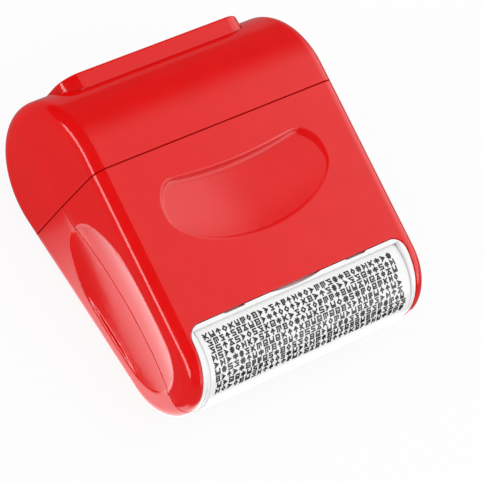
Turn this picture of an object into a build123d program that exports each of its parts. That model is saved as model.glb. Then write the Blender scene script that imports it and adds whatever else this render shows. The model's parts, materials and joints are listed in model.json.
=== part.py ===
from build123d import *
from math import radians, sqrt, tan
import os

# Roller stamp that inks over printed addresses, lying on its back.
# X runs along the roller, Y from the roller end to the domed end, Z out of the front.
# Every solid is placed from the body's own axes: height along the body from the centre
# of the roller end, depth from the front (negative) to the back (positive).

# Body, mm
body_width = 63
roller_end_radius = 11.5
dome_radius = 16
axis_spacing = 41.6
edge_radius = 3
side_draft = 1.5
seam_height = 36.1
wall = 1.2
cheek = 3.3
overrun = 1

# Window for the roller
window_top = 1.8
window_corner = 3

# Thumb scoops in the front and back
scoop_drop = 5
scoop_height = 16.9
scoop_shoulder = 7.2
scoop_sag = 1.3
scoop_half_width = 21.3
scoop_corner_x = 15.8
scoop_corner_radius = 2.4
scoop_depth = 2
scoop_bulge = 8
scoop_rim = 0.8
scoop_cove = 1.5
scoop_reach_x = 22.8
scoop_reach_up = 13.6

# Grip scoops in the sides, narrower towards the roller
grip_bottom = -5.9
grip_height = 37
grip_half_depth = 8.9
grip_narrowing = 1.6
grip_sink = 1.9
grip_bulge = 6
grip_reach_margin = 1.3
grip_rim = 1
grip_cove = 0.8

# Foot pad on the dome
pad_inset = 8
pad_half_depth = 10.1
pad_rise = 0.1
pad_corner = 4.5
pad_edge = 0.5
pad_peg_inset = 8.2
pad_peg_radius = 1.5
pad_peg_length = 2.4
pad_gap = 0.1

# Clearances, and how close a place on the skin lies to it
skin_tolerance = 0.0005
running_gap = 0.05
close_gap = 0.02
slide_gap = 0.15

# Fasteners and joints of the casing
boss_inset = 4.2
boss_drop = 5
boss_radius = 2.6
screw_radius = 1
screw_head_radius = 1.9
screw_head_height = 1.3
screw_length = 18
screw_slot = 0.6
peg_height = -8
peg_radius = 0.8
peg_length = 2

# Ink deck under the dome
deck_thickness = 1.2
ledge = 1
neck_height = 5
neck_corner = 1.5
port_x = 12
port_radius = 2.2
spout_wall = 1
spout_gap = 1
plug_head_radius = 3.7
plug_head_height = 1.4
plug_depth = 3.5
plug_grip_width = 1.2
plug_grip_height = 1.6
rib_x = 14
rib_width = 1.6

# Roller cassette
plate = 1
lip_sink = 0.1
drum_end_gap = 0.15
lip_height = 0.9
lip_drum_gap = 0.15
slot_depth = 0.25
slot_inner_x = 13.3
slot_length = 5.2
notch_half_length = 6.6
notch_depth = 0.55
housing_wall = 0.9
housing_skirt = 12
roof_thickness = 1.2
roof_gap = 0.9
tapping_inset = 2.6
tapping_boss_radius = 1.5
tapping_boss_length = 6
tapping_radius = 0.7
tapping_head_radius = 1.2
tapping_head_height = 0.6
tapping_length = 4.5
plate_top_corner = 2

# Stamping drum
drum_proud = 0.3
drum_gap = 0.38
sleeve_thickness = 1.5
sleeve_margin = 0.8
core_wall = 1.5
cap_step = 0.3
cap_plug_length = 3
hub_radius = 3
axle_radius = 1.5

# Ink roller
ink_radius = 5
ink_gap = 0.1
felt_thickness = 2
felt_margin = 1
ink_axle_radius = 1
collar_radius = 3.8

# Worked out from the sizes above
half_width = body_width / 2
window_half = half_width - cheek
taper_sin = (dome_radius - roller_end_radius) / axis_spacing
taper_cos = sqrt(1 - taper_sin**2)


def skin_depth(height, inset=0):
    """Depth of the front or back at a height, measured from the middle of the body."""
    radius = dome_radius - inset
    if height > axis_spacing - radius * taper_sin:
        return sqrt(radius**2 - (height - axis_spacing) ** 2)
    return (roller_end_radius - inset + taper_sin * height) / taper_cos


edge_depth = skin_depth(window_top, wall)
swing = roller_end_radius + drum_proud + drum_gap
drum_drop = (swing**2 - edge_depth**2 - window_top**2) / (2 * (swing + window_top))
drum_radius = roller_end_radius + drum_proud - drum_drop
drum_height = -drum_drop
ink_height = drum_height + drum_radius + ink_gap + ink_radius
guide_depth = skin_depth(window_top - window_corner, wall) - slide_gap
cassette_half = window_half - slide_gap
plate_inside = cassette_half - plate
drum_half = plate_inside - drum_end_gap
roof_bottom = ink_height + ink_radius + roof_gap
roof_top = roof_bottom + roof_thickness
deck_bottom = seam_height - deck_thickness
neck_half = window_half - slide_gap
neck_top = seam_height + neck_height
neck_depth = min(skin_depth(deck_bottom, wall), skin_depth(neck_top, wall)) - slide_gap
lip_top = window_top - slide_gap
sleeve_half = drum_half - sleeve_margin
felt_half = plate_inside - felt_margin
tapping_y = guide_depth - tapping_inset
tapping_height = roof_bottom - tapping_boss_radius / 2
boss_x = window_half - boss_inset
boss_height = seam_height - boss_drop
screw_seat = skin_depth(boss_height) - 2 * screw_head_height
scoop_top = seam_height - scoop_drop
scoop_bottom = scoop_top - scoop_height
scoop_middle = scoop_top - scoop_shoulder
pad_half_length = half_width - pad_inset
pad_peg_x = pad_half_length - pad_peg_inset
pad_top = axis_spacing + dome_radius + pad_rise
pad_seat = axis_spacing + sqrt(dome_radius**2 - pad_half_depth**2)

reach_low = taper_cos * drum_drop + drum_radius
reach_high = taper_sin * (pad_half_depth - pad_edge) + taper_cos * (pad_top - pad_edge) + pad_edge

# The body's planes: across it, and out of its front and back
body = Plane(
    origin=(0, (reach_low - reach_high) / 2, roller_end_radius),
    x_dir=(1, 0, 0),
    z_dir=(0, taper_cos, taper_sin),
)
front_view = Plane(origin=body.origin, x_dir=body.x_dir, z_dir=-body.y_dir)
back_view = Plane(origin=body.origin, x_dir=-body.x_dir, z_dir=body.y_dir)
spine = Axis(body.origin, body.z_dir)


def side(x):
    """Plane square to the roller, drawn in depth and height."""
    return Plane(origin=body.origin + Vector(x, 0, 0), x_dir=body.y_dir, z_dir=(1, 0, 0))


def skin(view):
    """Plane of the flat front or back, which leans out towards the dome."""
    outward = view.z_dir * taper_cos - body.z_dir * taper_sin
    return Plane(origin=body.origin + outward * roller_end_radius, x_dir=view.x_dir, z_dir=outward)


def hull_profile(inset):
    """Side outline of the body: the roller end and the dome joined by their tangents."""
    with BuildSketch(side(0)) as profile:
        Circle(roller_end_radius - inset)
        with Locations((0, axis_spacing)):
            Circle(dome_radius - inset)
        make_hull()
    return profile.sketch


def window_outline(inset):
    """Front outline of the roller window, open at the roller end."""
    bottom = -roller_end_radius - overrun
    top = window_top - inset
    with BuildSketch(front_view) as outline:
        with Locations((0, (top + bottom) / 2)):
            Rectangle(2 * (window_half - inset), top - bottom)
        fillet(outline.vertices().group_by(Axis.Y)[-1], window_corner - inset)
    return outline.sketch


def ellipsoid(plane, centre, reach, sink, bulge):
    """Ellipsoid that dips a sink below a plane over the given reach, its seam turned outward."""
    dip_share = sqrt(1 - ((bulge - sink) / bulge) ** 2)
    sizes = (reach[0] / dip_share, reach[1] / dip_share, bulge)
    ball = scale(Rot(0, -90, 0) * Sphere(1), by=sizes)
    return plane.location * Pos(centre[0], centre[1], bulge - sink) * ball


def in_order(edges):
    """Edges sorted by their middles, so that every build rounds them in the same order."""
    return edges.sort_by(lambda edge: tuple(edge.center()))


def foot_edges(scoop, face):
    """Edges where the floor of a scoop meets its wall."""
    outward = Axis(face.origin, face.z_dir)
    cap = scoop.faces().sort_by(outward)[-1]
    return in_order(scoop.edges().filter_by(outward, reverse=True) - cap.edges())


def thumb_scoop(view):
    """Smile-shaped thumb scoop, deepest just under its upper lip."""
    face = skin(view)
    floor = ellipsoid(
        face,
        (0, scoop_bottom + scoop_reach_up),
        (scoop_reach_x, scoop_reach_up),
        scoop_depth,
        scoop_bulge,
    )
    with BuildPart() as scoop:
        with BuildSketch(face) as outline:
            with BuildLine():
                EllipticalCenterArc(
                    (0, scoop_middle),
                    scoop_half_width,
                    scoop_middle - scoop_bottom,
                    start_angle=180,
                    arc_size=180,
                )
                right = EllipticalCenterArc(
                    (scoop_corner_x, scoop_middle),
                    scoop_half_width - scoop_corner_x,
                    scoop_top - scoop_middle,
                    start_angle=0,
                    arc_size=90,
                )
                left = EllipticalCenterArc(
                    (-scoop_corner_x, scoop_middle),
                    scoop_half_width - scoop_corner_x,
                    scoop_top - scoop_middle,
                    start_angle=90,
                    arc_size=90,
                )
                ThreePointArc(right @ 1, (0, scoop_top - scoop_sag), left @ 0)
            make_face()
            fillet(outline.vertices().group_by(Axis.Y)[-1], scoop_corner_radius)
        extrude(amount=scoop_bulge, both=True)
        add(floor, mode=Mode.INTERSECT)
        fillet(foot_edges(scoop, face), scoop_cove)
    return scoop.part


def scoop_backing(view):
    """Swelling inside the wall that keeps it at least one wall thick behind the thumb scoop."""
    face = skin(view)
    swell = (scoop_reach_up + wall) ** 2 / (2 * scoop_depth) + scoop_depth / 2
    middle = scoop_bottom + scoop_reach_up
    top = scoop_top + wall
    with BuildPart() as backing:
        with BuildSketch(Plane(origin=face.origin, x_dir=face.y_dir, z_dir=face.x_dir)):
            with Locations((middle, swell - scoop_depth - wall)):
                Circle(swell)
            with Locations((top / 2, 0)):
                Rectangle(top, 2 * dome_radius, mode=Mode.INTERSECT)
        extrude(amount=scoop_half_width + wall, both=True)
        add(envelope.part, mode=Mode.INTERSECT)
    return backing.part


def grip_scoop(sign):
    """Long oval grip in one side of the casing."""
    middle = grip_bottom + grip_height / 2
    flank = Plane(
        origin=side(sign * half_width).origin, x_dir=body.y_dir * sign, z_dir=(sign, 0, 0)
    )
    reach = (grip_half_depth + grip_reach_margin, grip_height / 2 + grip_reach_margin)
    floor = ellipsoid(flank, (0, middle), reach, grip_sink, grip_bulge)
    narrow = grip_half_depth - grip_narrowing
    with BuildPart() as scoop:
        with BuildSketch(flank):
            with Locations((0, grip_bottom + grip_height - grip_half_depth)):
                Circle(grip_half_depth)
            with Locations((0, grip_bottom + narrow)):
                Circle(narrow)
            make_hull()
        extrude(amount=grip_bulge, both=True)
        add(floor, mode=Mode.INTERSECT)
        fillet(foot_edges(scoop, flank), grip_cove)
    return scoop.part


def finish(piece, name):
    """Name a finished piece and write it out."""
    piece.label = name
    export_step(piece, f"parts/{name}.step")


os.makedirs("parts", exist_ok=True)
ends = {"left": -1, "right": 1}

# Outer form of the casing and dome, its sides drafted both ways from the parting line
# and rounded along their edges
outer_profile = hull_profile(0)
draft_reach = 2 * dome_radius
draft_lean = draft_reach * tan(radians(side_draft))
with BuildPart() as envelope:
    extrude(outer_profile, amount=half_width, both=True)
    with BuildSketch(body.offset(-draft_reach)):
        with BuildLine():
            Polyline(
                (half_width, 0),
                (half_width - draft_lean, draft_reach),
                (draft_lean - half_width, draft_reach),
                (-half_width, 0),
                (draft_lean - half_width, -draft_reach),
                (half_width - draft_lean, -draft_reach),
                close=True,
            )
        make_face()
    extrude(amount=axis_spacing + 2 * draft_reach, mode=Mode.INTERSECT)
    flanks = envelope.faces().sort_by(Axis.X)
    flank_edges = (flanks[:2] + flanks[-2:]).edges()
    fillet(flank_edges.filter_by(spine, reverse=True), edge_radius)

# The same form with the scoops pressed into it and their rims rounded over
skin_shell = envelope.part.shell()
skin_shares = (0.25, 0.5, 0.75)


def rim_edges(form):
    """New edges of a form that lie in its old skin, round the scoops just cut."""
    rims = ShapeList()
    for edge in form.edges(Select.LAST).filter_by(spine, reverse=True):
        gap = max(skin_shell.distance_to(edge @ share) for share in skin_shares)
        if gap < skin_tolerance:
            rims.append(edge)
    return in_order(rims)


thumb_scoops = [thumb_scoop(view) for view in (front_view, back_view)]
grip_scoops = [grip_scoop(sign) for sign in ends.values()]
with BuildPart() as outer_form:
    add(envelope.part)
    add(thumb_scoops, mode=Mode.SUBTRACT)
    fillet(rim_edges(outer_form), scoop_rim)
    add(grip_scoops, mode=Mode.SUBTRACT)
    fillet(rim_edges(outer_form), grip_rim)

# Room inside the casing, and the same room where it clears the thumb scoops
inner_profile = hull_profile(wall)
with BuildPart() as cavity:
    extrude(inner_profile, amount=window_half, both=True)


scoop_backings = [scoop_backing(view) for view in (front_view, back_view)]
with BuildPart() as room:
    add(cavity.part)
    add(scoop_backings, mode=Mode.SUBTRACT)


def half_shell(view):
    """Front or back half of the casing below the seam."""
    window = window_outline(0)
    ledge_depth = skin_depth(deck_bottom, wall)
    with BuildPart() as half:
        add(outer_form.part)
        add(room.part, mode=Mode.SUBTRACT)
        # Ledge that carries the ink deck
        with BuildSketch(body.offset(deck_bottom)):
            Rectangle(2 * window_half + wall, 2 * ledge_depth + wall)
            Rectangle(2 * (window_half - ledge), 2 * (ledge_depth - ledge), mode=Mode.SUBTRACT)
        extrude(amount=-ledge)
        # Screw bosses
        with BuildSketch(view):
            with Locations((boss_x, boss_height), (-boss_x, boss_height)):
                Circle(boss_radius)
        extrude(amount=skin_depth(boss_height, wall / 2))
        extrude(window, amount=2 * dome_radius, both=True, mode=Mode.SUBTRACT)
        split(bisect_by=body.offset(seam_height), keep=Keep.BOTTOM)
        split(bisect_by=view, keep=Keep.TOP)
    return half.part


# Front half of the casing, with blind screw holes and locating pegs
front_half = half_shell(front_view)
with BuildPart() as front_shell:
    add(front_half)
    with BuildSketch(front_view):
        with Locations((boss_x, boss_height), (-boss_x, boss_height)):
            Circle(screw_radius)
    extrude(amount=screw_length - screw_seat + overrun, mode=Mode.SUBTRACT)
    with BuildSketch(front_view):
        with Locations((half_width - cheek / 2, peg_height), (cheek / 2 - half_width, peg_height)):
            Circle(peg_radius)
    extrude(amount=-peg_length)
finish(front_shell.part, "front_shell")

# Back half of the casing, with through holes sunk for the screw heads
rear_half = half_shell(back_view)
with BuildPart() as rear_shell:
    add(rear_half)
    with BuildSketch(back_view):
        with Locations((boss_x, boss_height), (-boss_x, boss_height)):
            Circle(screw_radius + close_gap)
    extrude(amount=screw_seat, mode=Mode.SUBTRACT)
    with BuildSketch(back_view.offset(screw_seat)):
        with Locations((boss_x, boss_height), (-boss_x, boss_height)):
            Circle(screw_head_radius + close_gap)
    extrude(amount=2 * screw_head_height + overrun, mode=Mode.SUBTRACT)
    with BuildSketch(back_view):
        with Locations((half_width - cheek / 2, peg_height), (cheek / 2 - half_width, peg_height)):
            Circle(peg_radius + close_gap)
    extrude(amount=peg_length + overrun, mode=Mode.SUBTRACT)
finish(rear_shell.part, "rear_shell")

# Self-tapping screws that draw the two halves together from the back
with BuildPart() as shell_screws:
    with BuildSketch(back_view.offset(screw_seat)):
        with Locations((boss_x, boss_height), (-boss_x, boss_height)):
            Circle(screw_head_radius)
    extrude(amount=screw_head_height)
    with BuildSketch(back_view.offset(screw_seat)):
        with Locations((boss_x, boss_height), (-boss_x, boss_height)):
            Circle(screw_radius)
    extrude(amount=-screw_length)
    # Cross recess in each head
    with BuildSketch(back_view.offset(screw_seat + screw_head_height)):
        with Locations((boss_x, boss_height), (-boss_x, boss_height)):
            Rectangle(2 * screw_radius, screw_slot)
            Rectangle(screw_slot, 2 * screw_radius)
    extrude(amount=-screw_head_height / 2, mode=Mode.SUBTRACT)
finish(shell_screws.part, "shell_screws")

# Floor that closes the dome under its foot pad
with BuildPart() as pocket_floor:
    with BuildSketch(body.offset(pad_seat)):
        RectangleRounded(
            2 * (pad_half_length + wall), 2 * (pad_half_depth + wall), pad_corner + wall
        )
    extrude(amount=-wall)
    add(envelope.part, mode=Mode.INTERSECT)

# Ribs that steady the cover on the neck of the ink deck
with BuildPart() as cover_ribs:
    with BuildSketch(body.offset(seam_height + slide_gap)):
        with Locations((rib_x, 0), (-rib_x, 0)):
            Rectangle(rib_width, 2 * dome_radius)
        Rectangle(2 * rib_x + 2 * rib_width, 2 * (neck_depth + slide_gap), mode=Mode.SUBTRACT)
    extrude(amount=neck_height)
    add(envelope.part, mode=Mode.INTERSECT)

# Domed cover that lifts off for refilling
with BuildPart() as top_cover:
    add(envelope.part)
    add(cavity.part, mode=Mode.SUBTRACT)
    split(bisect_by=body.offset(seam_height), keep=Keep.TOP)
    add(cover_ribs.part)
    # Flat floor under the foot pad, and the pocket that the pad sits in
    add(pocket_floor.part)
    with BuildSketch(body.offset(pad_seat)):
        RectangleRounded(2 * pad_half_length, 2 * pad_half_depth, pad_corner)
    extrude(amount=dome_radius, mode=Mode.SUBTRACT)
    with BuildSketch(body.offset(pad_seat)):
        with Locations((pad_peg_x, 0), (-pad_peg_x, 0)):
            Circle(pad_peg_radius + close_gap)
    extrude(amount=-2 * wall, mode=Mode.SUBTRACT)
finish(top_cover.part, "top_cover")

# Flat pad on the dome, on which the stamp also stands roller up
with BuildPart() as foot_pad:
    with BuildSketch(body.offset(pad_seat)):
        RectangleRounded(
            2 * (pad_half_length - pad_gap), 2 * (pad_half_depth - pad_gap), pad_corner - pad_gap
        )
    extrude(amount=pad_top - pad_seat)
    fillet(foot_pad.faces().sort_by(Axis(body.origin, body.z_dir))[-1].edges(), pad_edge)
    with BuildSketch(body.offset(pad_seat)):
        with Locations((pad_peg_x, 0), (-pad_peg_x, 0)):
            Circle(pad_peg_radius)
    extrude(amount=-pad_peg_length)
finish(foot_pad.part, "foot_pad")

# Deck with the two ink ports and the neck that the cover fits over
with BuildPart() as ink_deck:
    with BuildSketch(body.offset(deck_bottom)):
        RectangleRounded(2 * neck_half, 2 * neck_depth, neck_corner)
    extrude(amount=deck_thickness + neck_height)
    with BuildSketch(body.offset(seam_height)):
        RectangleRounded(2 * (neck_half - wall), 2 * (neck_depth - wall), neck_corner)
    extrude(amount=neck_height, mode=Mode.SUBTRACT)
    with BuildSketch(body.offset(roof_top + spout_gap)):
        with Locations((port_x, 0), (-port_x, 0)):
            Circle(port_radius + spout_wall)
    extrude(amount=deck_bottom - roof_top - spout_gap)
    with BuildSketch(body.offset(roof_top + spout_gap)):
        with Locations((port_x, 0), (-port_x, 0)):
            Circle(port_radius)
    extrude(amount=seam_height - roof_top - spout_gap, mode=Mode.SUBTRACT)
finish(ink_deck.part, "ink_deck")

# Rubber plugs of the ink ports, each with a rib to pull it by
for end, sign in ends.items():
    with BuildPart() as fill_plug:
        with BuildSketch(body.offset(seam_height)):
            with Locations((sign * port_x, 0)):
                Circle(plug_head_radius)
        extrude(amount=plug_head_height)
        with BuildSketch(body.offset(seam_height)):
            with Locations((sign * port_x, 0)):
                Circle(port_radius - running_gap)
        extrude(amount=-plug_depth)
        with BuildSketch(body.offset(seam_height + plug_head_height)):
            with Locations((sign * port_x, 0)):
                RectangleRounded(2 * port_radius, plug_grip_width, plug_grip_width / 3)
        extrude(amount=plug_grip_height)
    finish(fill_plug.part, f"{end}_fill_plug")

# Full form of the cassette where it shows in the window
cassette_profile = hull_profile(lip_sink)
cassette_window = window_outline(slide_gap)
with BuildPart() as cassette_form:
    extrude(cassette_profile, amount=cassette_half, both=True)
    extrude(cassette_window, amount=2 * dome_radius, both=True, mode=Mode.INTERSECT)

# End plates of the roller cassette, which slide between the cheeks of the casing
for end, sign in ends.items():
    with BuildPart() as cassette_plate:
        add(cassette_form.part)
        with BuildSketch(side(sign * plate_inside)):
            Rectangle(2 * dome_radius, 2 * dome_radius)
        extrude(amount=sign * plate, mode=Mode.INTERSECT)
        with BuildSketch(side(sign * plate_inside)) as guide:
            with Locations((0, roof_top / 2)):
                Rectangle(2 * guide_depth, roof_top)
            fillet(guide.vertices().group_by(Axis.Y)[-1], plate_top_corner)
        extrude(amount=sign * plate)
        # Holes for the two axles and the screws
        with BuildSketch(side(sign * plate_inside)):
            with Locations((0, drum_height)):
                Circle(axle_radius)
            with Locations((0, ink_height)):
                Circle(ink_axle_radius)
            with Locations((tapping_y, tapping_height), (-tapping_y, tapping_height)):
                Circle(tapping_radius)
        extrude(amount=plate + overrun, both=True, mode=Mode.SUBTRACT)
        with BuildSketch(side(sign * cassette_half)):
            with Locations((tapping_y, tapping_height), (-tapping_y, tapping_height)):
                Circle(tapping_head_radius)
        extrude(amount=-sign * tapping_head_height, mode=Mode.SUBTRACT)
    finish(cassette_plate.part, f"cassette_{end}_plate")

# Slim bars that close the window above the drum, with latch slots and a finger notch
lips = {"front": front_view, "rear": back_view}
for place, view in lips.items():
    with BuildPart() as window_lip:
        add(cassette_form.part)
        with BuildSketch(view):
            with Locations((0, lip_top - lip_height / 2)):
                Rectangle(2 * plate_inside, lip_height)
        extrude(amount=2 * dome_radius, mode=Mode.INTERSECT)
        with BuildSketch(side(0)):
            with Locations((0, drum_height)):
                Circle(drum_radius + lip_drum_gap)
        extrude(amount=half_width, both=True, mode=Mode.SUBTRACT)
        with BuildSketch(view):
            for sign in ends.values():
                with Locations((sign * (slot_inner_x + slot_length / 2), lip_top)):
                    Rectangle(slot_length, 2 * slot_depth)
            with BuildLine():
                notch = ThreePointArc(
                    (-notch_half_length, lip_top),
                    (0, lip_top - notch_depth),
                    (notch_half_length, lip_top),
                )
                Polyline(
                    notch @ 1,
                    (notch_half_length, lip_top + overrun),
                    (-notch_half_length, lip_top + overrun),
                    notch @ 0,
                )
            make_face()
        extrude(amount=2 * dome_radius, mode=Mode.SUBTRACT)
    finish(window_lip.part, f"cassette_{place}_lip")

# Housing over the ink roller, with the two ports that the ink drips through
with BuildPart() as ink_housing:
    with BuildSketch(side(-plate_inside)) as section:
        with Locations((0, roof_top - housing_skirt / 2)):
            Rectangle(2 * guide_depth, housing_skirt)
        fillet(section.vertices().group_by(Axis.Y)[-1], plate_top_corner)
        with Locations((0, roof_bottom - housing_skirt / 2)):
            Rectangle(2 * (guide_depth - housing_wall), housing_skirt, mode=Mode.SUBTRACT)
    extrude(amount=2 * plate_inside)
    with BuildSketch(body.offset(roof_bottom)):
        with Locations((port_x, 0), (-port_x, 0)):
            Circle(port_radius)
    extrude(amount=roof_thickness, mode=Mode.SUBTRACT)
    for sign in ends.values():
        with BuildSketch(side(sign * plate_inside)):
            with Locations((tapping_y, tapping_height), (-tapping_y, tapping_height)):
                Circle(tapping_boss_radius)
        extrude(amount=-sign * tapping_boss_length)
        with BuildSketch(side(sign * plate_inside)):
            with Locations((tapping_y, tapping_height), (-tapping_y, tapping_height)):
                Circle(tapping_radius)
        extrude(amount=-sign * tapping_length, mode=Mode.SUBTRACT)
finish(ink_housing.part, "ink_housing")

# Small screws that hold the end plates to the housing
with BuildPart() as cassette_screws:
    for sign in ends.values():
        with BuildSketch(side(sign * cassette_half)):
            with Locations((tapping_y, tapping_height), (-tapping_y, tapping_height)):
                Circle(tapping_head_radius)
        extrude(amount=-sign * tapping_head_height)
        with BuildSketch(side(sign * (cassette_half - tapping_head_height))):
            with Locations((tapping_y, tapping_height), (-tapping_y, tapping_height)):
                Circle(tapping_radius)
        extrude(amount=-sign * tapping_length)
finish(cassette_screws.part, "cassette_screws")


def tube(half_length, outer, inner, height):
    """Plain tube along the roller direction, centred on the body."""
    with BuildPart() as sleeve:
        with BuildSketch(side(-half_length)):
            with Locations((0, height)):
                Circle(outer)
                if inner:
                    Circle(inner, mode=Mode.SUBTRACT)
        extrude(amount=2 * half_length)
    return sleeve.part


# Stamping drum: rubber sleeve on a core with a cap in each end, turning on a fixed axle
core_radius = drum_radius - sleeve_thickness
bore_radius = core_radius - core_wall
finish(tube(sleeve_half, drum_radius, core_radius, drum_height), "stamp_sleeve")
finish(tube(sleeve_half, core_radius, bore_radius, drum_height), "drum_core")
finish(tube(cassette_half, axle_radius, 0, drum_height), "drum_axle")
for end, sign in ends.items():
    with BuildPart() as drum_cap:
        with BuildSketch(side(sign * sleeve_half)):
            with Locations((0, drum_height)):
                Circle(drum_radius - cap_step)
        extrude(amount=sign * sleeve_margin)
        with BuildSketch(side(sign * sleeve_half)):
            with Locations((0, drum_height)):
                Circle(bore_radius)
                Circle(bore_radius - wall, mode=Mode.SUBTRACT)
                Circle(hub_radius)
        extrude(amount=-sign * cap_plug_length)
        with BuildSketch(side(sign * (sleeve_half + sleeve_margin))):
            with Locations((0, drum_height)):
                Circle(axle_radius + running_gap)
        extrude(amount=-sign * (sleeve_margin + cap_plug_length), mode=Mode.SUBTRACT)
    finish(drum_cap.part, f"drum_{end}_cap")

# Ink roller: felt on a collared core, turning on its own axle against the drum
with BuildPart() as ink_core:
    with BuildSketch(side(-drum_half)):
        with Locations((0, ink_height)):
            Circle(collar_radius)
    extrude(amount=2 * drum_half)
    with BuildSketch(side(-felt_half)):
        with Locations((0, ink_height)):
            Circle(collar_radius + overrun)
            Circle(ink_radius - felt_thickness, mode=Mode.SUBTRACT)
    extrude(amount=2 * felt_half, mode=Mode.SUBTRACT)
    with BuildSketch(side(-drum_half)):
        with Locations((0, ink_height)):
            Circle(ink_axle_radius + running_gap)
    extrude(amount=2 * drum_half, mode=Mode.SUBTRACT)
finish(ink_core.part, "ink_core")
finish(tube(felt_half, ink_radius, ink_radius - felt_thickness, ink_height), "ink_felt")
finish(tube(cassette_half, ink_axle_radius, 0, ink_height), "ink_axle")
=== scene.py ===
import json
import random
from math import cos, pi, radians, sin, sqrt

import bmesh
import bpy
from mathutils import Matrix, Vector
from mathutils.bvhtree import BVHTree
from mathutils.interpolate import poly_3d_calc


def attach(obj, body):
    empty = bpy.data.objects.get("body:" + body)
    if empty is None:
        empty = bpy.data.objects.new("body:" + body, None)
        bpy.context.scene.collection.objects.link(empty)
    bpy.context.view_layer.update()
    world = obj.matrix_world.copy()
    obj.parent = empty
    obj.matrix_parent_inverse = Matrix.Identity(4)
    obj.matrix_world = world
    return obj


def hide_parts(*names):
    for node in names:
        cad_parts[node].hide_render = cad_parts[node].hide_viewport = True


# Roller stamp lying on its back: metres, +X along the roller, +Y towards the dome,
# +Z out of the front. Places on the stamp are given along its own axes: x along the
# roller, depth from front (negative) to back, height from the middle of the roller end.

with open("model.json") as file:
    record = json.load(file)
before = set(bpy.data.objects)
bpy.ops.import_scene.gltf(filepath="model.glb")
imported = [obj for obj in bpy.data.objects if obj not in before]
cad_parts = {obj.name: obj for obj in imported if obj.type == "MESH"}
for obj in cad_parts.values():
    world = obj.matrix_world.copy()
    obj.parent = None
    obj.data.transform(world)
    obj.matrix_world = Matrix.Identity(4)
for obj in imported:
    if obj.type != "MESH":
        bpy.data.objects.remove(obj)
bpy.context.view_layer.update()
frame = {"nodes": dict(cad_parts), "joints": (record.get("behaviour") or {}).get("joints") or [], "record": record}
nodes = frame["nodes"]
joints = {joint["name"]: joint for joint in frame["joints"]}

MM = 0.001

# Body sizes, shared with the solids
ROLLER_END_RADIUS = 11.5 * MM
DOME_RADIUS = 16 * MM
AXIS_SPACING = 41.6 * MM
TAPER_SIN = (DOME_RADIUS - ROLLER_END_RADIUS) / AXIS_SPACING
TAPER_COS = sqrt(1 - TAPER_SIN * TAPER_SIN)
DRUM_DROP = 1.2042 * MM
DRUM_RADIUS = 10.5958 * MM
SLEEVE_HALF = 26.1 * MM
HALF_WIDTH = 31.5 * MM
EDGE_RADIUS = 3 * MM
SIDE_DRAFT = radians(1.5)
BOSS_X = 24 * MM
SEAM_HEIGHT = 36.1 * MM

UP = Vector(joints["cover_lift"]["axis"]).normalized()
BACK = Vector((0, UP.z, -UP.y))
RIGHT = Vector((1, 0, 0))
DRUM_CENTRE = Vector(joints["drum_spin"]["pos_m"])
ORIGIN = DRUM_CENTRE + UP * DRUM_DROP


def at(x, depth, height):
    """Row position of a place on the stamp."""
    return ORIGIN + RIGHT * x + BACK * depth + UP * height


def along(x, depth, height):
    """Row direction of a direction on the stamp."""
    return RIGHT * x + BACK * depth + UP * height


def new_object(name, data):
    """Object of a mesh, lamp or camera, put in the scene."""
    made = bpy.data.objects.new(name, data)
    bpy.context.scene.collection.objects.link(made)
    return made


# Camera, fitted to the photograph. Its place and directions are along the stamp's axes.
CAMERA_PLACE = (-401.454 * MM, -565.809 * MM, -104.109 * MM)
CAMERA_RIGHT = (0.754710, -0.433933, -0.492052)
CAMERA_FORWARD = (0.571976, 0.802560, 0.169533)
FOCAL_PIXELS = 3525.87
PHOTO_PIXELS = 485
SENSOR_WIDTH = 36
CLIP_START = 10 * MM
CLIP_END = 20


def make_camera():
    """Camera with the photograph's viewpoint and lens."""
    data = bpy.data.cameras.new("camera")
    data.sensor_width = SENSOR_WIDTH
    data.lens = FOCAL_PIXELS * SENSOR_WIDTH / PHOTO_PIXELS
    data.clip_start = CLIP_START
    data.clip_end = CLIP_END
    camera = new_object("camera", data)
    right = along(*CAMERA_RIGHT).normalized()
    backward = -along(*CAMERA_FORWARD).normalized()
    upward = backward.cross(right)
    turn = Matrix((right, upward, backward)).transposed()
    camera.matrix_world = Matrix.LocRotScale(at(*CAMERA_PLACE), turn, None)
    bpy.context.scene.camera = camera


# Shader helpers. A span is where a change starts and ends, and levels are the values that
# it goes from and to.
NOISE_SPAN = (0.3, 0.7)


def node_tree(material):
    """Emptied node tree of a material, with its shader and output joined."""
    material.use_nodes = True
    tree = material.node_tree
    tree.nodes.clear()
    output = tree.nodes.new("ShaderNodeOutputMaterial")
    shader = tree.nodes.new("ShaderNodeBsdfPrincipled")
    tree.links.new(shader.outputs["BSDF"], output.inputs["Surface"])
    return tree, shader


def feed(tree, socket, value):
    """Join a node's output to a socket, or set the socket to a number."""
    if isinstance(value, (int, float)):
        socket.default_value = value
    else:
        tree.links.new(value, socket)


def noise(tree, scale, detail):
    """Noise over the piece, with its scale in features per metre."""
    place = tree.nodes.new("ShaderNodeTexCoord")
    texture = tree.nodes.new("ShaderNodeTexNoise")
    texture.inputs["Scale"].default_value = scale
    texture.inputs["Detail"].default_value = detail
    tree.links.new(place.outputs["Object"], texture.inputs["Vector"])
    return texture.outputs["Fac"]


def change(tree, value, span, levels):
    """Straight change between the levels as the value goes through the span."""
    node = tree.nodes.new("ShaderNodeMapRange")
    for name, number in zip(("From Min", "From Max", "To Min", "To Max"), (*span, *levels)):
        node.inputs[name].default_value = number
    tree.links.new(value, node.inputs["Value"])
    return node.outputs["Result"]


def step(tree, value, span, levels):
    """Smooth step between the levels as the value goes through the span."""
    result = change(tree, value, span, levels)
    result.node.interpolation_type = "SMOOTHSTEP"
    return result


def spread(tree, value, levels=(0, 1)):
    """The value stretched from the middle of a noise's range to the levels."""
    return change(tree, value, NOISE_SPAN, levels)


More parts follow.
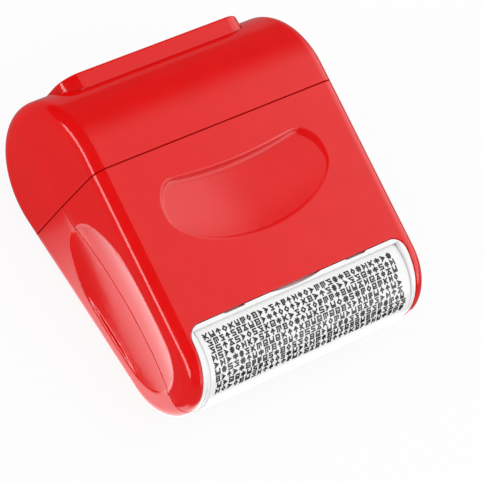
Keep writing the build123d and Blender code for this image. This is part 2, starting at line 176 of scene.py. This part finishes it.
def math_node(tree, operation, first, second):
    """Sum, product or other operation on two values, each an output or a number."""
    node = tree.nodes.new("ShaderNodeMath")
    node.operation = operation
    feed(tree, node.inputs[0], first)
    feed(tree, node.inputs[1], second)
    return node.outputs["Value"]


def blend_values(tree, factor, first, second):
    """Mix of two values by a factor, each an output or a number."""
    mix = tree.nodes.new("ShaderNodeMix")
    feed(tree, mix.inputs["A"], first)
    feed(tree, mix.inputs["B"], second)
    tree.links.new(factor, mix.inputs["Factor"])
    return mix.outputs["Result"]


def blend_colours(tree, factor, first, second):
    """Mix of two colours by a factor."""
    mix = tree.nodes.new("ShaderNodeMix")
    mix.data_type = "RGBA"
    mix.inputs["A"].default_value = (*first, 1)
    mix.inputs["B"].default_value = (*second, 1)
    tree.links.new(factor, mix.inputs["Factor"])
    return mix.outputs["Result"]


def bump(tree, shader, height, strength, distance):
    """Bump of a height over a distance in metres."""
    node = tree.nodes.new("ShaderNodeBump")
    node.inputs["Strength"].default_value = strength
    node.inputs["Distance"].default_value = distance
    tree.links.new(height, node.inputs["Height"])
    tree.links.new(node.outputs["Normal"], shader.inputs["Normal"])


# Materials. Each kind of unevenness is a noise, given by its scale and detail.
PLASTIC_IOR = 1.49
# The seam's low index of refraction dulls its gloss, as part of the painted shade in its gap.
SEAM_SHADE_IOR = 1.08
MOTTLE = (180, 4)
GLOSS = (420, 5)
GRAIN_DETAIL = 2
GRAIN_STRENGTH = 0.5
WEAR_DETAIL = 6
SHEEN_FINER = 2
SHEEN_DETAIL = 4
SCRATCH_FINER = 3
SCRATCH_STRENGTH = 0.3
SCRATCH_DEPTH = 0.01 * MM


def moulded(name, first, second, roughness, grain, depth, ior=PLASTIC_IOR):
    """Moulded plastic or rubber: mottled colour, uneven gloss and a fine surface grain."""
    material = bpy.data.materials.new(name)
    tree, shader = node_tree(material)
    mottle = spread(tree, noise(tree, *MOTTLE))
    tree.links.new(blend_colours(tree, mottle, first, second), shader.inputs["Base Color"])
    gloss = spread(tree, noise(tree, *GLOSS), roughness)
    tree.links.new(gloss, shader.inputs["Roughness"])
    shader.inputs["IOR"].default_value = ior
    bump(tree, shader, noise(tree, grain, GRAIN_DETAIL), GRAIN_STRENGTH, depth)
    return material


def metal(name, colour, worn, roughness, grain):
    """Plated or ground steel with fine marks."""
    material = bpy.data.materials.new(name)
    tree, shader = node_tree(material)
    wear = spread(tree, noise(tree, grain, WEAR_DETAIL))
    tree.links.new(blend_colours(tree, wear, colour, worn), shader.inputs["Base Color"])
    sheen = spread(tree, noise(tree, SHEEN_FINER * grain, SHEEN_DETAIL), roughness)
    tree.links.new(sheen, shader.inputs["Roughness"])
    shader.inputs["Metallic"].default_value = 1
    scratches = noise(tree, SCRATCH_FINER * grain, GRAIN_DETAIL)
    bump(tree, shader, scratches, SCRATCH_STRENGTH, SCRATCH_DEPTH)
    return material


RED = moulded(
    "gloss_red", (0.80, 0.0028, 0.0028), (0.765, 0.0024, 0.0026),
    roughness=(0.10, 0.15), grain=900, depth=0.0025 * MM,
)
# Darker, duller red for the faces along the seam under the cover: painted shade in the gap between the cover and
# the casing.
SEAM = moulded(
    "seam_painted_shade", (0.42, 0.002, 0.002), (0.38, 0.002, 0.002),
    roughness=(0.5, 0.6), grain=900, depth=0.006 * MM, ior=SEAM_SHADE_IOR,
)
WHITE = moulded(
    "satin_white", (0.96, 0.96, 0.96), (0.945, 0.945, 0.945),
    roughness=(0.28, 0.36), grain=2200, depth=0.008 * MM,
)
RUBBER = moulded(
    "white_rubber", (0.96, 0.96, 0.957), (0.945, 0.945, 0.943),
    roughness=(0.2, 0.28), grain=3000, depth=0.01 * MM,
)
PRINT = moulded(
    "inked_rubber", (0.006, 0.006, 0.007), (0.014, 0.014, 0.016),
    roughness=(0.16, 0.24), grain=3000, depth=0.01 * MM,
)
PLUG = moulded(
    "plug_rubber", (0.02, 0.02, 0.021), (0.035, 0.035, 0.036),
    roughness=(0.5, 0.65), grain=2600, depth=0.02 * MM,
)
FELT = moulded(
    "inked_felt", (0.006, 0.006, 0.008), (0.02, 0.02, 0.026),
    roughness=(0.75, 0.95), grain=2400, depth=0.12 * MM,
)
STEEL = metal(
    "ground_steel", (0.62, 0.62, 0.63), (0.5, 0.5, 0.51), roughness=(0.18, 0.3), grain=1500
)
ZINC = metal(
    "zinc_plate", (0.58, 0.59, 0.61), (0.42, 0.43, 0.46), roughness=(0.28, 0.42), grain=700
)

SLOT_MATERIALS = {
    "red_plastic": RED,
    "white_plastic": WHITE,
    "stamp_rubber": RUBBER,
    "ink_felt": FELT,
    "axle_steel": STEEL,
    "screw_zinc": ZINC,
    "plug_rubber": PLUG,
}


def paint_nodes():
    """Give every carried-over node the material of its slot."""
    for subpart in frame["record"]["subparts"]:
        node = nodes[subpart["node"]]
        node.data.materials.clear()
        node.data.materials.append(SLOT_MATERIALS[subpart["material_slot"]])


def add_piece(name, vertices, faces, material, body):
    """New mesh piece that rides on a body."""
    mesh = bpy.data.meshes.new(name)
    mesh.from_pydata([tuple(vertex) for vertex in vertices], [], faces)
    mesh.materials.append(material)
    piece = new_object(name, mesh)
    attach(piece, body)


# Moulded pieces: the solids with their sharp edges rounded and smooth shading. Angles are in
# degrees. The edge band is the rounding between a side and the outline. Its faces are cut
# down to SKIN_STEP and shaded with the exact normal. A face belongs to it if its places are
# within SKIN_NEAR of the rounding and it faces away from the core, by BAND_LEAN and
# BAND_SPAN. The seam's faces are those within SEAM_REACH of it whose normals have an up
# share in SEAM_LEAN. They get a darker, duller red, which is painted shade in the gap under
# the cover.
SHELL_ROUNDING = 0.16 * MM
PAD_ROUNDING = 0.1 * MM
SMALL_ROUNDING = 0.08 * MM
ROUNDING_SEGMENTS = 2
WELD = 0.002 * MM
FLAT_ANGLE = 0.1
SHARP_ANGLE = 34
SKIN_NEAR = 0.03 * MM
SKIN_STEP = 0.8 * MM
SKIN_PASSES = 6
CORE_TURNS = 8
BAND_SPAN = (0.01, 0.9999)
BAND_LEAN = 0.95
SEAM_REACH = 0.25 * MM
SEAM_LEAN = (0.15, 0.99)

SHELLS = ("front_shell", "rear_shell", "top_cover")
SMALL_MOULDINGS = (
    "cassette_left_plate", "cassette_right_plate", "cassette_front_lip", "cassette_rear_lip",
    "drum_left_cap", "drum_right_cap", "left_fill_plug", "right_fill_plug",
)


def into_outline(depth, height):
    """Nearest place inside the body's side outline, moved in by the edge radius."""
    reach = abs(depth)
    if height > AXIS_SPACING - reach * TAPER_SIN / TAPER_COS:
        centre, radius = AXIS_SPACING, DOME_RADIUS - EDGE_RADIUS
    elif height < -reach * TAPER_SIN / TAPER_COS:
        centre, radius = 0, ROLLER_END_RADIUS - EDGE_RADIUS
    else:
        over = max(0, reach * TAPER_COS - height * TAPER_SIN - ROLLER_END_RADIUS + EDGE_RADIUS)
        new_depth = reach - over * TAPER_COS
        return (-new_depth if depth < 0 else new_depth), height + over * TAPER_SIN
    share = min(1, radius / max(sqrt(reach * reach + (height - centre) ** 2), WELD))
    return depth * share, centre + (height - centre) * share


def edge_ray(place, back):
    """Vector to a place from the body's core, and the way that the side near it faces.

    Both are along the stamp's axes. The rounded body is grown on the core, which is the
    outline and the drafted sides, all moved in by the edge radius. Back tells which half's
    draft counts. The core's nearest place is found by turns on the outline and the side.
    """
    local = place - ORIGIN
    spot = Vector((local.dot(RIGHT), local.dot(BACK), local.dot(UP)))
    side = 1 if spot.x > 0 else -1
    lean = Vector((side * cos(SIDE_DRAFT), sin(SIDE_DRAFT) * (1 if back else -1), 0))
    limit = HALF_WIDTH * cos(SIDE_DRAFT) - EDGE_RADIUS
    core = spot.copy()
    rest_outline, rest_side = Vector(), Vector()
    for _ in range(CORE_TURNS):
        held = core + rest_outline
        pressed = Vector((held.x, *into_outline(held.y, held.z)))
        rest_outline = held - pressed
        held = pressed + rest_side
        core = held - lean * max(0, held.dot(lean) - limit)
        rest_side = held - core
    return spot - core, lean


def in_edge_band(places, normal):
    """Whether a face lies in the rounded band between a side and the outline."""
    near_side = HALF_WIDTH - EDGE_RADIUS - DOME_RADIUS * sin(SIDE_DRAFT) - WELD
    if any(abs(place.x) < near_side for place in places):
        return False
    middle = sum(places, Vector()) / len(places)
    back = (middle - ORIGIN).dot(BACK) > 0
    ray, lean = edge_ray(middle, back)
    way = ray.normalized()
    if along(*way).dot(normal) < BAND_LEAN or not BAND_SPAN[0] < way.dot(lean) < BAND_SPAN[1]:
        return False
    return all(abs(edge_ray(place, back)[0].length - EDGE_RADIUS) < SKIN_NEAR for place in places)


def refine_band(shape):
    """Cut the faces of the rounded bands small, so that they can be shaded exactly."""
    band = [face for face in shape.faces if in_edge_band([v.co for v in face.verts], face.normal)]
    for _ in range(SKIN_PASSES):
        long_edges = {e for face in band for e in face.edges if e.calc_length() > SKIN_STEP}
        if not long_edges:
            break
        old_band = set(band)
        rims = {face for e in long_edges for face in e.link_faces} - old_band
        made = bmesh.ops.subdivide_edges(shape, edges=list(long_edges), cuts=1)
        inner = {part for part in made["geom_inner"] if isinstance(part, bmesh.types.BMVert)}
        new_band = {face for vert in inner for face in vert.link_faces if face not in rims}
        whole_band = new_band | {face for face in old_band if face.is_valid}
        band = bmesh.ops.triangulate(shape, faces=list(whole_band))["faces"]


def exact_normals(mesh, source):
    """Give every corner the exact normal of the solid's surface that it lies on."""
    source.calc_loop_triangles()
    places = [vertex.co.copy() for vertex in source.vertices]
    triangles = [tuple(triangle.vertices) for triangle in source.loop_triangles]
    corners = [tuple(triangle.loops) for triangle in source.loop_triangles]
    bent = [Vector(normal.vector) for normal in source.corner_normals]
    surface = BVHTree.FromPolygons(places, triangles)
    normals = []
    for face in mesh.polygons:
        vertices = [mesh.vertices[i] for i in face.vertices]
        spots = [vertex.co for vertex in vertices]
        if in_edge_band(spots, face.normal):
            back = (face.center - ORIGIN).dot(BACK) > 0
            normals.extend(along(*edge_ray(spot, back)[0]).normalized() for spot in spots)
            continue
        for vertex in vertices:
            found = surface.find_nearest_range(vertex.co, 2 * WELD)
            if not found:
                normals.append(vertex.normal.copy())
                continue
            hit, _, index, _ = max(found, key=lambda near: near[1].dot(face.normal))
            shares = poly_3d_calc([places[i] for i in triangles[index]], hit)
            weighted = (bent[corner] * share for corner, share in zip(corners[index], shares))
            normals.append(sum(weighted, Vector()).normalized())
    mesh.normals_split_custom_set(normals)


def in_seam(face):
    """Whether a face is part of the rounded edges along the seam under the cover."""
    heights = [(vert.co - ORIGIN).dot(UP) - SEAM_HEIGHT for vert in face.verts]
    near = max(abs(height) for height in heights) < SEAM_REACH
    return near and SEAM_LEAN[0] < abs(face.normal.dot(UP)) < SEAM_LEAN[1]


def moulding(node, width, cuts=()):
    """Copy of a solid with its sharp edges rounded to a width, shown in its place.

    The cuts are planes, each a place and a direction, through the holes in its flat faces.
    They split such a face into simple ones.
    """
    source = nodes[node].data
    shape = bmesh.new()
    shape.from_mesh(source)
    bmesh.ops.remove_doubles(shape, verts=shape.verts, dist=WELD)
    for place, direction in cuts:
        everything = shape.verts[:] + shape.edges[:] + shape.faces[:]
        found = bmesh.ops.bisect_plane(
            shape, geom=everything, dist=WELD, plane_co=place, plane_no=direction
        )
        for edge in found["geom_cut"]:
            if isinstance(edge, bmesh.types.BMEdge):
                edge.seam = True
    bmesh.ops.dissolve_limit(
        shape,
        angle_limit=radians(FLAT_ANGLE),
        verts=shape.verts,
        edges=shape.edges,
        delimit={"SEAM"},
    )
    sharp = [
        edge for edge in shape.edges
        if edge.is_manifold and edge.calc_face_angle() > radians(SHARP_ANGLE)
    ]
    bmesh.ops.bevel(
        shape,
        geom=sharp,
        offset=width,
        offset_type="OFFSET",
        segments=ROUNDING_SEGMENTS,
        profile=0.5,
        affect="EDGES",
        clamp_overlap=False,
    )
    bmesh.ops.remove_doubles(shape, verts=shape.verts, dist=WELD)
    refine_band(shape)
    for vert in shape.verts:
        vert.co.x = max(-HALF_WIDTH, min(HALF_WIDTH, vert.co.x))
    # Faces along the seam under the cover get the seam material, which is painted shade in the gap.
    for face in shape.faces:
        face.smooth = True
        face.material_index = 1 if in_seam(face) else 0
    mesh = bpy.data.meshes.new(f"{node}_moulding")
    shape.to_mesh(mesh)
    shape.free()
    exact_normals(mesh, source)
    piece = new_object(f"{node}_moulding", mesh)
    bodies = frame["record"]["behaviour"]["bodies"]
    body = next(name for name, members in bodies.items() if node in members)
    subparts = frame["record"]["subparts"]
    slot = next(subpart["material_slot"] for subpart in subparts if subpart["node"] == node)
    mesh.materials.append(SLOT_MATERIALS[slot])
    mesh.materials.append(SEAM)
    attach(piece, body)
    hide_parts(node)


def make_mouldings():
    """Rounded copies of the casing's pieces and of the small plastic and rubber ones."""
    cuts = [(at(x, 0, 0), RIGHT) for x in (0, -BOSS_X, BOSS_X)]
    for node in SHELLS:
        moulding(node, SHELL_ROUNDING, cuts)
    moulding("foot_pad", PAD_ROUNDING, cuts)
    for node in SMALL_MOULDINGS:
        moulding(node, SMALL_ROUNDING)


# Raised pattern of the stamp sleeve: rows of abstract marks, each a few bent strokes.
# Strokes are drawn in shares of a mark's width and height. Rows come in fields with a
# blank band after each, and the angle of the first row is given in degrees.
MARK_SHARES = [
    [[(0, 0), (0, 1), (1, 1), (1, 0.4)], [(0.5, 0), (0.5, 0.62)]],
    [[(0, 1), (0, 0.34), (1, 0.34), (1, 1)], [(0, 0), (1, 0)]],
    [[(1, 1), (0, 1), (1, 0), (0, 0)], [(0.72, 0.5), (1, 0.5)]],
    [[(0, 1), (0.9, 0.5), (0, 0)], [(0.1, 0.5), (0.5, 0.5)]],
    [[(1, 0), (0, 0), (0, 1), (1, 1), (1, 0.4), (0.42, 0.4)]],
    [[(0.3, 0), (0.3, 1)], [(0.75, 0), (0.75, 1)], [(0, 0.3), (1, 0.3)], [(0, 0.7), (1, 0.7)]],
    [[(0.5, 0), (0.5, 1)], [(0, 0.72), (1, 0.72)], [(0, 0.36), (1, 0.36)]],
    [[(0, 0), (1, 0), (0.5, 0.72), (0, 0)], [(0, 1), (1, 1)]],
    [[(0.5, 1), (1, 0.5), (0.5, 0), (0, 0.5), (0.5, 1)]],
    [[(0, 1), (1, 1), (1, 0), (0, 0)], [(0.1, 0.32), (0.1, 0.7)], [(0.1, 0.5), (0.55, 0.5)]],
    [[(0, 0.5), (0.5, 1), (1, 0.5)], [(0.5, 0.75), (0.5, 0)]],
    [[(0, 0.56), (0, 1), (1, 1)], [(0, 0), (1, 0), (1, 0.44)], [(0.3, 0.5), (0.7, 0.5)]],
    [[(0, 0), (0, 1), (0.55, 0.5), (0, 0)], [(1, 0), (1, 1)]],
    [[(0, 1), (0.5, 0.55), (1, 1)], [(0, 0), (0.5, 0.45), (1, 0)], [(0, 0.5), (0.3, 0.5)]],
]
MARK_WIDTH = 1.16 * MM
MARK_WIDTH_SHARES = (0.84, 1.12)
MARK_HEIGHT = 1.28 * MM
MARK_STROKE = 0.29 * MM
MARK_RISE = 0.06 * MM
MARK_ROOT = MARK_RISE / 4
MARK_GAP = 0.4 * MM
MITRE_LEAST = 0.5
SAME_PLACE = 1e-9
ROW_MARGIN = 0.9 * MM
ROW_START = 0.5 * MM
FIELDS = 3
FIELD_ROWS = 9
BLANK_ROWS = 6
FIRST_ROW_ANGLE = 63
FULL_TURN = 360
PATTERN_SEED = 11


def ribbon(points, width):
    """Left and right edges of a stroke, mitred at its bends."""
    points = [Vector(p) for p in points]
    closed = (points[0] - points[-1]).length < SAME_PLACE
    ends = len(points) - 1
    left, right = [], []
    for i, point in enumerate(points):
        before = points[i - 1] if i > 0 else (points[-2] if closed else None)
        after = points[i + 1] if i < ends else (points[1] if closed else None)
        ways = [(b - a).normalized() for a, b in ((before, point), (point, after)) if a and b]
        if len(ways) == 1:
            lean = Vector((-ways[0].y, ways[0].x)) * width / 2
            reach = ways[0] * (width / 2 if i == ends else -width / 2)
        else:
            normals = [Vector((-w.y, w.x)) for w in ways]
            lean = (normals[0] + normals[1]).normalized()
            lean *= width / 2 / max(lean.dot(normals[0]), MITRE_LEAST)
            reach = Vector((0, 0))
        left.append(point + lean + reach)
        right.append(point - lean + reach)
    return left, right


def mark_strokes(mark, width):
    """Left and right edges of a mark's strokes, in metres from the mark's middle."""
    size = Vector((width - MARK_STROKE, MARK_HEIGHT - MARK_STROKE))
    strokes = []
    for stroke in mark:
        points = [((x - 0.5) * size.x, (y - 0.5) * size.y) for x, y in stroke]
        strokes.append(ribbon(points, MARK_STROKE))
    return strokes


def raise_stroke(vertices, faces, left, right, x, angle):
    """Add a stroke that stands out of the sleeve, with its mark's middle at x and an angle.

    Each point along the stroke gets four vertices, a low and a top one on either edge.
    """
    start = len(vertices)
    for edges in zip(left, right):
        for point in edges:
            turned = angle - point.y / DRUM_RADIUS
            out = along(0, -cos(turned), -sin(turned))
            foot = DRUM_CENTRE + RIGHT * (x + point.x)
            vertices.append(foot + out * (DRUM_RADIUS - MARK_ROOT))
            vertices.append(foot + out * (DRUM_RADIUS + MARK_RISE))
    last = start + 4 * (len(left) - 1)
    for here in range(start, last, 4):
        low_a, top_a, low_b, top_b, low_c, top_c, low_d, top_d = range(here, here + 8)
        faces.append((top_a, top_b, top_d, top_c))
        faces.append((low_a, low_c, low_d, low_b))
        faces.append((low_a, top_a, top_c, low_c))
        faces.append((low_b, low_d, top_d, top_b))
    if (left[0] - left[-1]).length > SAME_PLACE:
        faces.append((start, start + 2, start + 3, start + 1))
        faces.append((last, last + 1, last + 3, last + 2))


def make_pattern():
    """Raised marks round the sleeve, in fields of rows along the roller."""
    order = random.Random(PATTERN_SEED)
    vertices, faces = [], []
    field = FIELD_ROWS + BLANK_ROWS
    rows = FIELDS * field
    for row in (row for row in range(rows) if row % field < FIELD_ROWS):
        angle = radians(FIRST_ROW_ANGLE - row * FULL_TURN / rows)
        row_end = -SLEEVE_HALF + ROW_MARGIN + ROW_START * order.random()
        while True:
            width = MARK_WIDTH * order.uniform(*MARK_WIDTH_SHARES)
            x = row_end + width / 2
            row_end += width + MARK_GAP
            if x + width / 2 > SLEEVE_HALF - ROW_MARGIN:
                break
            for left, right in mark_strokes(order.choice(MARK_SHARES), width):
                raise_stroke(vertices, faces, left, right, x, angle)
    add_piece("sleeve_pattern", vertices, faces, PRINT, "drum")


# Floor. The camera sees it nearly white. In the stamp's gloss it is bright in a strip beside
# each side of the stamp and dim elsewhere. The strip's outer edge is BOUNCE_EDGE from the
# middle, softened by BOUNCE_SOFT and slanting by BOUNCE_SLANT. Along Y it ends over
# BOUNCE_SOUTH and BOUNCE_NORTH, and its part on the near side of BOUNCE_NEAR fades out over
# BOUNCE_FADE.
FLOOR_HALF = 3
FLOOR_GAP = 0.02 * MM
FLOOR_TONE = (9, 2)
FLOOR_COLOURS = ((0.93, 0.93, 0.93), (0.92, 0.92, 0.92))
FLOOR_ROUGHNESS = 0.9
FLOOR_SHINE = 0.1
FLOOR_SHOWN_WHITE = 0.9
BOUNCE_DIM = 0.2
BOUNCE_BRIGHT = 2.8
BOUNCE_EDGE = 41.1 * MM
BOUNCE_SOFT = 0.8 * MM
BOUNCE_SLANT = 0.079
BOUNCE_NEAR = (37.5 * MM, 40.5 * MM)
BOUNCE_SOUTH = (-52 * MM, -42 * MM)
BOUNCE_NORTH = (13 * MM, 18.5 * MM)
BOUNCE_FADE = (-16 * MM, 30 * MM)


def bounce_strength(tree):
    """Brightness of the floor as the stamp's gloss shows it."""
    point = tree.nodes.new("ShaderNodeTexCoord")
    split = tree.nodes.new("ShaderNodeSeparateXYZ")
    tree.links.new(point.outputs["Object"], split.inputs["Vector"])
    x, y = split.outputs["X"], split.outputs["Y"]
    slant = math_node(tree, "MULTIPLY", y, BOUNCE_SLANT)
    aside = math_node(tree, "SUBTRACT", math_node(tree, "ABSOLUTE", x, 0), slant)
    edge = (BOUNCE_EDGE - BOUNCE_SOFT, BOUNCE_EDGE + BOUNCE_SOFT)
    strip = step(tree, aside, edge, (1, 0))
    south = step(tree, y, BOUNCE_SOUTH, (0, 1))
    north = step(tree, y, BOUNCE_NORTH, (1, 0))
    fade = step(tree, y, BOUNCE_FADE, (1, 0))
    far = step(tree, aside, BOUNCE_NEAR, (0, 1))
    north = math_node(tree, "MULTIPLY", north, math_node(tree, "MAXIMUM", fade, far))
    strip = math_node(tree, "MULTIPLY", strip, math_node(tree, "MULTIPLY", south, north))
    return step(tree, strip, (0, 1), (BOUNCE_DIM, BOUNCE_BRIGHT))


def make_floor():
    """White floor that keeps a soft shadow of the stamp and runs out of view."""
    mesh = bpy.data.meshes.new("floor")
    corners = [(-1, -1), (1, -1), (1, 1), (-1, 1)]
    places = [(x * FLOOR_HALF, y * FLOOR_HALF, -FLOOR_GAP) for x, y in corners]
    mesh.from_pydata(places, [], [(0, 1, 2, 3)])
    floor = new_object("floor", mesh)
    material = bpy.data.materials.new("floor_paper")
    tree, shader = node_tree(material)
    tone = spread(tree, noise(tree, *FLOOR_TONE))
    tree.links.new(blend_colours(tree, tone, *FLOOR_COLOURS), shader.inputs["Base Color"])
    shader.inputs["Roughness"].default_value = FLOOR_ROUGHNESS
    shader.inputs["Specular IOR Level"].default_value = FLOOR_SHINE
    path = tree.nodes.new("ShaderNodeLightPath")
    glossy = path.outputs["Is Glossy Ray"]
    seen = math_node(tree, "MAXIMUM", path.outputs["Is Camera Ray"], glossy)
    seen = math_node(tree, "MAXIMUM", seen, path.outputs["Is Transmission Ray"])
    white = tree.nodes.new("ShaderNodeEmission")
    strength = blend_values(tree, glossy, 1, bounce_strength(tree))
    tree.links.new(strength, white.inputs["Strength"])
    mixed = tree.nodes.new("ShaderNodeMixShader")
    shown = math_node(tree, "MULTIPLY", seen, FLOOR_SHOWN_WHITE)
    tree.links.new(shown, mixed.inputs["Fac"])
    tree.links.new(shader.outputs["BSDF"], mixed.inputs[1])
    tree.links.new(white.outputs["Emission"], mixed.inputs[2])
    tree.links.new(mixed.outputs["Shader"], tree.nodes["Material Output"].inputs["Surface"])
    mesh.materials.append(material)


# Surroundings. In the stamp's gloss they are dark in the west and bright like a card in the
# east, with a brighter window furthest east. All of it is dimmer towards the north and
# brighter in the far south. Spans are of a direction's X or Y.
CARD_SPAN = (0.22, 0.28)
CARD_LEVELS = (0.05, 1.05)
WINDOW_SPAN = (0.56, 0.68)
WINDOW_LEVELS = (0, 1.4)
NORTH_SPAN = (0.05, 0.62)
NORTH_LEVELS = (1.0, 0.12)
SOUTH_SPAN = (-0.8, -0.5)
SOUTH_LEVELS = (2.3, 1.0)
WORLD_DIFFUSE = 1.02


def area_light(name, place, size, radiance, mirrored):
    """Soft rectangular lamp that looks at the stamp, with its brightness as seen in a mirror.

    The stamp's gloss shows it where it is mirrored, and it lights the stamp where it isn't.
    """
    data = bpy.data.lights.new(name, "AREA")
    data.shape = "RECTANGLE"
    data.size, data.size_y = size
    data.energy = radiance * pi * size[0] * size[1]
    lamp = new_object(name, data)
    lamp.location = place
    lamp.rotation_euler = (-Vector(place)).to_track_quat("-Z", "Y").to_euler()
    lamp.visible_glossy = mirrored
    lamp.visible_diffuse = not mirrored
    lamp.visible_camera = False


def make_world():
    """White surroundings: even light on the stamp, and a bright and a dim side in its gloss."""
    world = bpy.data.worlds.new("studio")
    bpy.context.scene.world = world
    world.use_nodes = True
    tree = world.node_tree
    tree.nodes.clear()
    output = tree.nodes.new("ShaderNodeOutputWorld")
    background = tree.nodes.new("ShaderNodeBackground")
    tree.links.new(background.outputs["Background"], output.inputs["Surface"])
    path = tree.nodes.new("ShaderNodeLightPath")
    place = tree.nodes.new("ShaderNodeTexCoord")
    split = tree.nodes.new("ShaderNodeSeparateXYZ")
    tree.links.new(place.outputs["Generated"], split.inputs["Vector"])
    x, y = split.outputs["X"], split.outputs["Y"]
    card = step(tree, x, CARD_SPAN, CARD_LEVELS)
    window = step(tree, x, WINDOW_SPAN, WINDOW_LEVELS)
    north = step(tree, y, NORTH_SPAN, NORTH_LEVELS)
    south = step(tree, y, SOUTH_SPAN, SOUTH_LEVELS)
    east = math_node(tree, "ADD", card, window)
    mirrored = math_node(tree, "MULTIPLY", math_node(tree, "MULTIPLY", east, north), south)
    lit = blend_values(tree, path.outputs["Is Glossy Ray"], WORLD_DIFFUSE, mirrored)
    shown = blend_values(tree, path.outputs["Is Camera Ray"], lit, 1)
    tree.links.new(shown, background.inputs["Strength"])


make_camera()
paint_nodes()
make_mouldings()
make_pattern()
make_floor()
make_world()
area_light("overhead", (0.3, -0.2, 0.9), size=(0.8, 0.8), radiance=0.8, mirrored=False)
area_light("side_fill", (-0.9, 0.1, 0.3), size=(0.8, 0.5), radiance=1.1, mirrored=False)
area_light("edge_strip", (-0.98, -0.02, 0.19), size=(1.6, 0.25), radiance=6.5, mirrored=True)
bpy.context.scene.view_settings.view_transform = "Standard"
